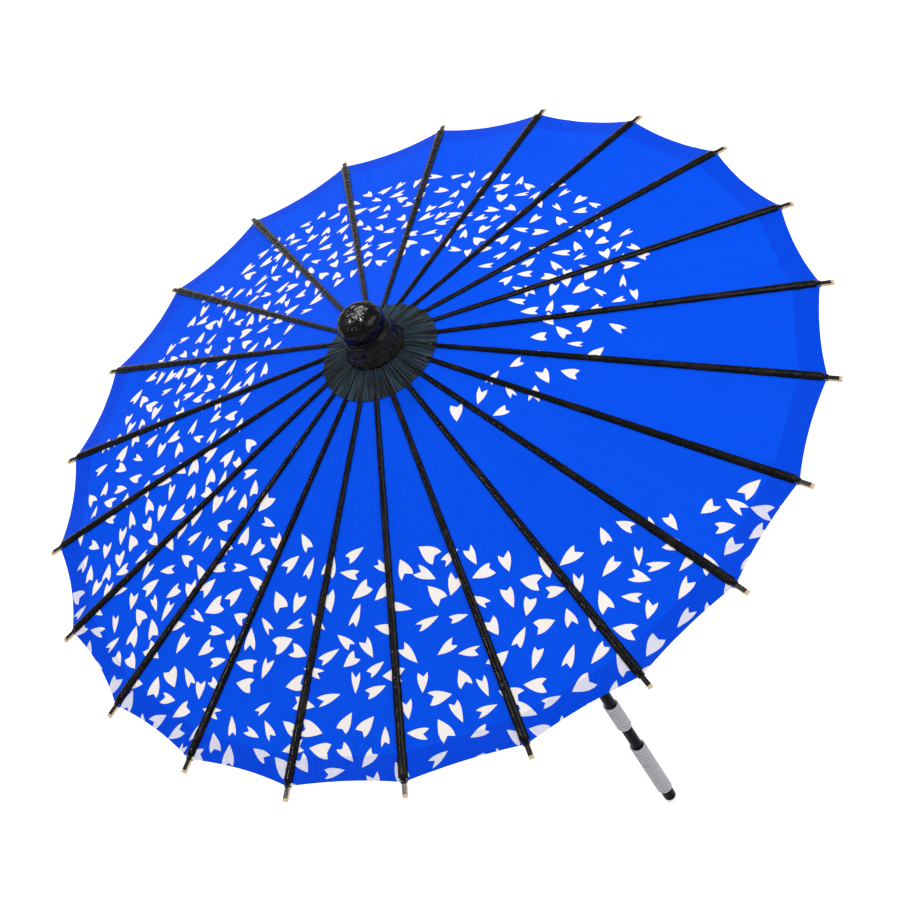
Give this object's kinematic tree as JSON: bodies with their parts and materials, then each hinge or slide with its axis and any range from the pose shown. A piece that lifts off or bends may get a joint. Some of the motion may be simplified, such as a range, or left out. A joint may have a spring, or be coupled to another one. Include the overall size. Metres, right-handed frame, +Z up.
{
  "type": "oil paper umbrella",
  "caption": "Open oil paper umbrella: blue petal-printed paper on folding split-bamboo ribs, black lacquered head and shaft, wound pale grips.",
  "frame": {"origin": "middle of the lower grip, on the shaft's axis", "axes": "+Z up the shaft from the grip to the head; +X along the first rib's direction, which is also the spring catch's side"},
  "size_m": [0.82, 0.8122, 0.9284],
  "materials": {
    "black_lacquer": "gloss black lacquer over wood and wrapped paper",
    "grip_winding": "closely wound pale grey cord, sealed",
    "turned_wood": "fine turned wood, oiled",
    "ring_wire": "drawn wire",
    "crown_paper": "dark oiled paper, pleated",
    "blue_paper": "oiled washi, cobalt blue with white petals",
    "catch_metal": "worn brass",
    "bamboo": "split bamboo, black lacquer on the ribs' outer face"
  },
  "bodies": {
    "root": {"shaft": "black_lacquer", "end_cap": "black_lacquer", "lower_grip": "grip_winding", "upper_grip": "grip_winding", "head_wheel": "turned_wood", "head_ring": "ring_wire", "head_wrap": "black_lacquer", "head_cord": "black_lacquer", "crown_paper": "crown_paper", "canopy": "blue_paper", "hem_strip": "blue_paper", "catch_pin": "ring_wire"},
    "runner": {"runner": "turned_wood", "runner_ring": "ring_wire"},
    "catch": {"catch": "catch_metal"},
    "rib_01": {"rib_01": "bamboo"},
    "rib_02": {"rib_02": "bamboo"},
    "rib_03": {"rib_03": "bamboo"},
    "rib_04": {"rib_04": "bamboo"},
    "rib_05": {"rib_05": "bamboo"},
    "rib_06": {"rib_06": "bamboo"},
    "rib_07": {"rib_07": "bamboo"},
    "rib_08": {"rib_08": "bamboo"},
    "rib_09": {"rib_09": "bamboo"},
    "rib_10": {"rib_10": "bamboo"},
    "rib_11": {"rib_11": "bamboo"},
    "rib_12": {"rib_12": "bamboo"},
    "rib_13": {"rib_13": "bamboo"},
    "rib_14": {"rib_14": "bamboo"},
    "rib_15": {"rib_15": "bamboo"},
    "rib_16": {"rib_16": "bamboo"},
    "rib_17": {"rib_17": "bamboo"},
    "rib_18": {"rib_18": "bamboo"},
    "rib_19": {"rib_19": "bamboo"},
    "rib_20": {"rib_20": "bamboo"},
    "rib_21": {"rib_21": "bamboo"},
    "rib_22": {"rib_22": "bamboo"},
    "strut_01": {"strut_01": "bamboo"},
    "strut_02": {"strut_02": "bamboo"},
    "strut_03": {"strut_03": "bamboo"},
    "strut_04": {"strut_04": "bamboo"},
    "strut_05": {"strut_05": "bamboo"},
    "strut_06": {"strut_06": "bamboo"},
    "strut_07": {"strut_07": "bamboo"},
    "strut_08": {"strut_08": "bamboo"},
    "strut_09": {"strut_09": "bamboo"},
    "strut_10": {"strut_10": "bamboo"},
    "strut_11": {"strut_11": "bamboo"},
    "strut_12": {"strut_12": "bamboo"},
    "strut_13": {"strut_13": "bamboo"},
    "strut_14": {"strut_14": "bamboo"},
    "strut_15": {"strut_15": "bamboo"},
    "strut_16": {"strut_16": "bamboo"},
    "strut_17": {"strut_17": "bamboo"},
    "strut_18": {"strut_18": "bamboo"},
    "strut_19": {"strut_19": "bamboo"},
    "strut_20": {"strut_20": "bamboo"},
    "strut_21": {"strut_21": "bamboo"},
    "strut_22": {"strut_22": "bamboo"}
  },
  "joints": [
    {"name": "fold", "type": "hinge", "parent": "root", "child": "rib_01", "pos_m": [0.0155, 0, 0.807], "axis": [0, 1, 0], "range_deg": [0, 69], "deforming": ["canopy", "hem_strip", "crown_paper"]},
    {"name": "rib_hinge_02", "type": "hinge", "parent": "root", "child": "rib_02", "pos_m": [0.01487, 0.00437, 0.807], "axis": [-0.2817, 0.9595, 0], "range_deg": [0, 69]},
    {"name": "rib_hinge_03", "type": "hinge", "parent": "root", "child": "rib_03", "pos_m": [0.01304, 0.00838, 0.807], "axis": [-0.5406, 0.8413, 0], "range_deg": [0, 69]},
    {"name": "rib_hinge_04", "type": "hinge", "parent": "root", "child": "rib_04", "pos_m": [0.01015, 0.01171, 0.807], "axis": [-0.7557, 0.6549, 0], "range_deg": [0, 69]},
    {"name": "rib_hinge_05", "type": "hinge", "parent": "root", "child": "rib_05", "pos_m": [0.00644, 0.0141, 0.807], "axis": [-0.9096, 0.4154, 0], "range_deg": [0, 69]},
    {"name": "rib_hinge_06", "type": "hinge", "parent": "root", "child": "rib_06", "pos_m": [0.00221, 0.01534, 0.807], "axis": [-0.9898, 0.1423, 0], "range_deg": [0, 69]},
    {"name": "rib_hinge_07", "type": "hinge", "parent": "root", "child": "rib_07", "pos_m": [-0.00221, 0.01534, 0.807], "axis": [-0.9898, -0.1423, 0], "range_deg": [0, 69]},
    {"name": "rib_hinge_08", "type": "hinge", "parent": "root", "child": "rib_08", "pos_m": [-0.00644, 0.0141, 0.807], "axis": [-0.9096, -0.4154, 0], "range_deg": [0, 69]},
    {"name": "rib_hinge_09", "type": "hinge", "parent": "root", "child": "rib_09", "pos_m": [-0.01015, 0.01171, 0.807], "axis": [-0.7557, -0.6549, 0], "range_deg": [0, 69]},
    {"name": "rib_hinge_10", "type": "hinge", "parent": "root", "child": "rib_10", "pos_m": [-0.01304, 0.00838, 0.807], "axis": [-0.5406, -0.8413, 0], "range_deg": [0, 69]},
    {"name": "rib_hinge_11", "type": "hinge", "parent": "root", "child": "rib_11", "pos_m": [-0.01487, 0.00437, 0.807], "axis": [-0.2817, -0.9595, 0], "range_deg": [0, 69]},
    {"name": "rib_hinge_12", "type": "hinge", "parent": "root", "child": "rib_12", "pos_m": [-0.0155, 0, 0.807], "axis": [0, -1, 0], "range_deg": [0, 69]},
    {"name": "rib_hinge_13", "type": "hinge", "parent": "root", "child": "rib_13", "pos_m": [-0.01487, -0.00437, 0.807], "axis": [0.2817, -0.9595, 0], "range_deg": [0, 69]},
    {"name": "rib_hinge_14", "type": "hinge", "parent": "root", "child": "rib_14", "pos_m": [-0.01304, -0.00838, 0.807], "axis": [0.5406, -0.8413, 0], "range_deg": [0, 69]},
    {"name": "rib_hinge_15", "type": "hinge", "parent": "root", "child": "rib_15", "pos_m": [-0.01015, -0.01171, 0.807], "axis": [0.7557, -0.6549, 0], "range_deg": [0, 69]},
    {"name": "rib_hinge_16", "type": "hinge", "parent": "root", "child": "rib_16", "pos_m": [-0.00644, -0.0141, 0.807], "axis": [0.9096, -0.4154, 0], "range_deg": [0, 69]},
    {"name": "rib_hinge_17", "type": "hinge", "parent": "root", "child": "rib_17", "pos_m": [-0.00221, -0.01534, 0.807], "axis": [0.9898, -0.1423, 0], "range_deg": [0, 69]},
    {"name": "rib_hinge_18", "type": "hinge", "parent": "root", "child": "rib_18", "pos_m": [0.00221, -0.01534, 0.807], "axis": [0.9898, 0.1423, 0], "range_deg": [0, 69]},
    {"name": "rib_hinge_19", "type": "hinge", "parent": "root", "child": "rib_19", "pos_m": [0.00644, -0.0141, 0.807], "axis": [0.9096, 0.4154, 0], "range_deg": [0, 69]},
    {"name": "rib_hinge_20", "type": "hinge", "parent": "root", "child": "rib_20", "pos_m": [0.01015, -0.01171, 0.807], "axis": [0.7557, 0.6549, 0], "range_deg": [0, 69]},
    {"name": "rib_hinge_21", "type": "hinge", "parent": "root", "child": "rib_21", "pos_m": [0.01304, -0.00838, 0.807], "axis": [0.5406, 0.8413, 0], "range_deg": [0, 69]},
    {"name": "rib_hinge_22", "type": "hinge", "parent": "root", "child": "rib_22", "pos_m": [0.01487, -0.00437, 0.807], "axis": [0.2817, 0.9595, 0], "range_deg": [0, 69]},
    {"name": "strut_hinge_01", "type": "hinge", "parent": "rib_01", "child": "strut_01", "pos_m": [0.19681, 0, 0.75018], "axis": [0, 1, 0], "range_deg": [-138, 0]},
    {"name": "strut_hinge_02", "type": "hinge", "parent": "rib_02", "child": "strut_02", "pos_m": [0.18883, 0.05545, 0.75018], "axis": [-0.2817, 0.9595, 0], "range_deg": [-138, 0]},
    {"name": "strut_hinge_03", "type": "hinge", "parent": "rib_03", "child": "strut_03", "pos_m": [0.16556, 0.1064, 0.75018], "axis": [-0.5406, 0.8413, 0], "range_deg": [-138, 0]},
    {"name": "strut_hinge_04", "type": "hinge", "parent": "rib_04", "child": "strut_04", "pos_m": [0.12888, 0.14874, 0.75018], "axis": [-0.7557, 0.6549, 0], "range_deg": [-138, 0]},
    {"name": "strut_hinge_05", "type": "hinge", "parent": "rib_05", "child": "strut_05", "pos_m": [0.08176, 0.17902, 0.75018], "axis": [-0.9096, 0.4154, 0], "range_deg": [-138, 0]},
    {"name": "strut_hinge_06", "type": "hinge", "parent": "rib_06", "child": "strut_06", "pos_m": [0.02801, 0.1948, 0.75018], "axis": [-0.9898, 0.1423, 0], "range_deg": [-138, 0]},
    {"name": "strut_hinge_07", "type": "hinge", "parent": "rib_07", "child": "strut_07", "pos_m": [-0.02801, 0.1948, 0.75018], "axis": [-0.9898, -0.1423, 0], "range_deg": [-138, 0]},
    {"name": "strut_hinge_08", "type": "hinge", "parent": "rib_08", "child": "strut_08", "pos_m": [-0.08176, 0.17902, 0.75018], "axis": [-0.9096, -0.4154, 0], "range_deg": [-138, 0]},
    {"name": "strut_hinge_09", "type": "hinge", "parent": "rib_09", "child": "strut_09", "pos_m": [-0.12888, 0.14874, 0.75018], "axis": [-0.7557, -0.6549, 0], "range_deg": [-138, 0]},
    {"name": "strut_hinge_10", "type": "hinge", "parent": "rib_10", "child": "strut_10", "pos_m": [-0.16556, 0.1064, 0.75018], "axis": [-0.5406, -0.8413, 0], "range_deg": [-138, 0]},
    {"name": "strut_hinge_11", "type": "hinge", "parent": "rib_11", "child": "strut_11", "pos_m": [-0.18883, 0.05545, 0.75018], "axis": [-0.2817, -0.9595, 0], "range_deg": [-138, 0]},
    {"name": "strut_hinge_12", "type": "hinge", "parent": "rib_12", "child": "strut_12", "pos_m": [-0.19681, 0, 0.75018], "axis": [0, -1, 0], "range_deg": [-138, 0]},
    {"name": "strut_hinge_13", "type": "hinge", "parent": "rib_13", "child": "strut_13", "pos_m": [-0.18883, -0.05545, 0.75018], "axis": [0.2817, -0.9595, 0], "range_deg": [-138, 0]},
    {"name": "strut_hinge_14", "type": "hinge", "parent": "rib_14", "child": "strut_14", "pos_m": [-0.16556, -0.1064, 0.75018], "axis": [0.5406, -0.8413, 0], "range_deg": [-138, 0]},
    {"name": "strut_hinge_15", "type": "hinge", "parent": "rib_15", "child": "strut_15", "pos_m": [-0.12888, -0.14874, 0.75018], "axis": [0.7557, -0.6549, 0], "range_deg": [-138, 0]},
    {"name": "strut_hinge_16", "type": "hinge", "parent": "rib_16", "child": "strut_16", "pos_m": [-0.08176, -0.17902, 0.75018], "axis": [0.9096, -0.4154, 0], "range_deg": [-138, 0]},
    {"name": "strut_hinge_17", "type": "hinge", "parent": "rib_17", "child": "strut_17", "pos_m": [-0.02801, -0.1948, 0.75018], "axis": [0.9898, -0.1423, 0], "range_deg": [-138, 0]},
    {"name": "strut_hinge_18", "type": "hinge", "parent": "rib_18", "child": "strut_18", "pos_m": [0.02801, -0.1948, 0.75018], "axis": [0.9898, 0.1423, 0], "range_deg": [-138, 0]},
    {"name": "strut_hinge_19", "type": "hinge", "parent": "rib_19", "child": "strut_19", "pos_m": [0.08176, -0.17902, 0.75018], "axis": [0.9096, 0.4154, 0], "range_deg": [-138, 0]},
    {"name": "strut_hinge_20", "type": "hinge", "parent": "rib_20", "child": "strut_20", "pos_m": [0.12888, -0.14874, 0.75018], "axis": [0.7557, 0.6549, 0], "range_deg": [-138, 0]},
    {"name": "strut_hinge_21", "type": "hinge", "parent": "rib_21", "child": "strut_21", "pos_m": [0.16556, -0.1064, 0.75018], "axis": [0.5406, 0.8413, 0], "range_deg": [-138, 0]},
    {"name": "strut_hinge_22", "type": "hinge", "parent": "rib_22", "child": "strut_22", "pos_m": [0.18883, -0.05545, 0.75018], "axis": [0.2817, 0.9595, 0], "range_deg": [-138, 0]},
    {"name": "runner_hinge", "type": "hinge", "parent": "strut_01", "child": "runner", "pos_m": [0.0155, 0, 0.69336], "axis": [0, 1, 0], "range_deg": [0, 69]},
    {"name": "catch_press", "type": "hinge", "parent": "root", "child": "catch", "pos_m": [0.0036, 0, 0.65086], "axis": [0, -1, 0], "range_deg": [0, 8.5], "stiffness_Nm_per_rad": 0.05, "springref_deg": -20.05}
  ],
  "couplings": [
    {"joint": "rib_hinge_02", "follows": "fold", "ratio": 1},
    {"joint": "rib_hinge_03", "follows": "fold", "ratio": 1},
    {"joint": "rib_hinge_04", "follows": "fold", "ratio": 1},
    {"joint": "rib_hinge_05", "follows": "fold", "ratio": 1},
    {"joint": "rib_hinge_06", "follows": "fold", "ratio": 1},
    {"joint": "rib_hinge_07", "follows": "fold", "ratio": 1},
    {"joint": "rib_hinge_08", "follows": "fold", "ratio": 1},
    {"joint": "rib_hinge_09", "follows": "fold", "ratio": 1},
    {"joint": "rib_hinge_10", "follows": "fold", "ratio": 1},
    {"joint": "rib_hinge_11", "follows": "fold", "ratio": 1},
    {"joint": "rib_hinge_12", "follows": "fold", "ratio": 1},
    {"joint": "rib_hinge_13", "follows": "fold", "ratio": 1},
    {"joint": "rib_hinge_14", "follows": "fold", "ratio": 1},
    {"joint": "rib_hinge_15", "follows": "fold", "ratio": 1},
    {"joint": "rib_hinge_16", "follows": "fold", "ratio": 1},
    {"joint": "rib_hinge_17", "follows": "fold", "ratio": 1},
    {"joint": "rib_hinge_18", "follows": "fold", "ratio": 1},
    {"joint": "rib_hinge_19", "follows": "fold", "ratio": 1},
    {"joint": "rib_hinge_20", "follows": "fold", "ratio": 1},
    {"joint": "rib_hinge_21", "follows": "fold", "ratio": 1},
    {"joint": "rib_hinge_22", "follows": "fold", "ratio": 1},
    {"joint": "strut_hinge_01", "follows": "fold", "ratio": -2},
    {"joint": "strut_hinge_02", "follows": "fold", "ratio": -2},
    {"joint": "strut_hinge_03", "follows": "fold", "ratio": -2},
    {"joint": "strut_hinge_04", "follows": "fold", "ratio": -2},
    {"joint": "strut_hinge_05", "follows": "fold", "ratio": -2},
    {"joint": "strut_hinge_06", "follows": "fold", "ratio": -2},
    {"joint": "strut_hinge_07", "follows": "fold", "ratio": -2},
    {"joint": "strut_hinge_08", "follows": "fold", "ratio": -2},
    {"joint": "strut_hinge_09", "follows": "fold", "ratio": -2},
    {"joint": "strut_hinge_10", "follows": "fold", "ratio": -2},
    {"joint": "strut_hinge_11", "follows": "fold", "ratio": -2},
    {"joint": "strut_hinge_12", "follows": "fold", "ratio": -2},
    {"joint": "strut_hinge_13", "follows": "fold", "ratio": -2},
    {"joint": "strut_hinge_14", "follows": "fold", "ratio": -2},
    {"joint": "strut_hinge_15", "follows": "fold", "ratio": -2},
    {"joint": "strut_hinge_16", "follows": "fold", "ratio": -2},
    {"joint": "strut_hinge_17", "follows": "fold", "ratio": -2},
    {"joint": "strut_hinge_18", "follows": "fold", "ratio": -2},
    {"joint": "strut_hinge_19", "follows": "fold", "ratio": -2},
    {"joint": "strut_hinge_20", "follows": "fold", "ratio": -2},
    {"joint": "strut_hinge_21", "follows": "fold", "ratio": -2},
    {"joint": "strut_hinge_22", "follows": "fold", "ratio": -2},
    {"joint": "runner_hinge", "follows": "fold", "ratio": 1}
  ]
}
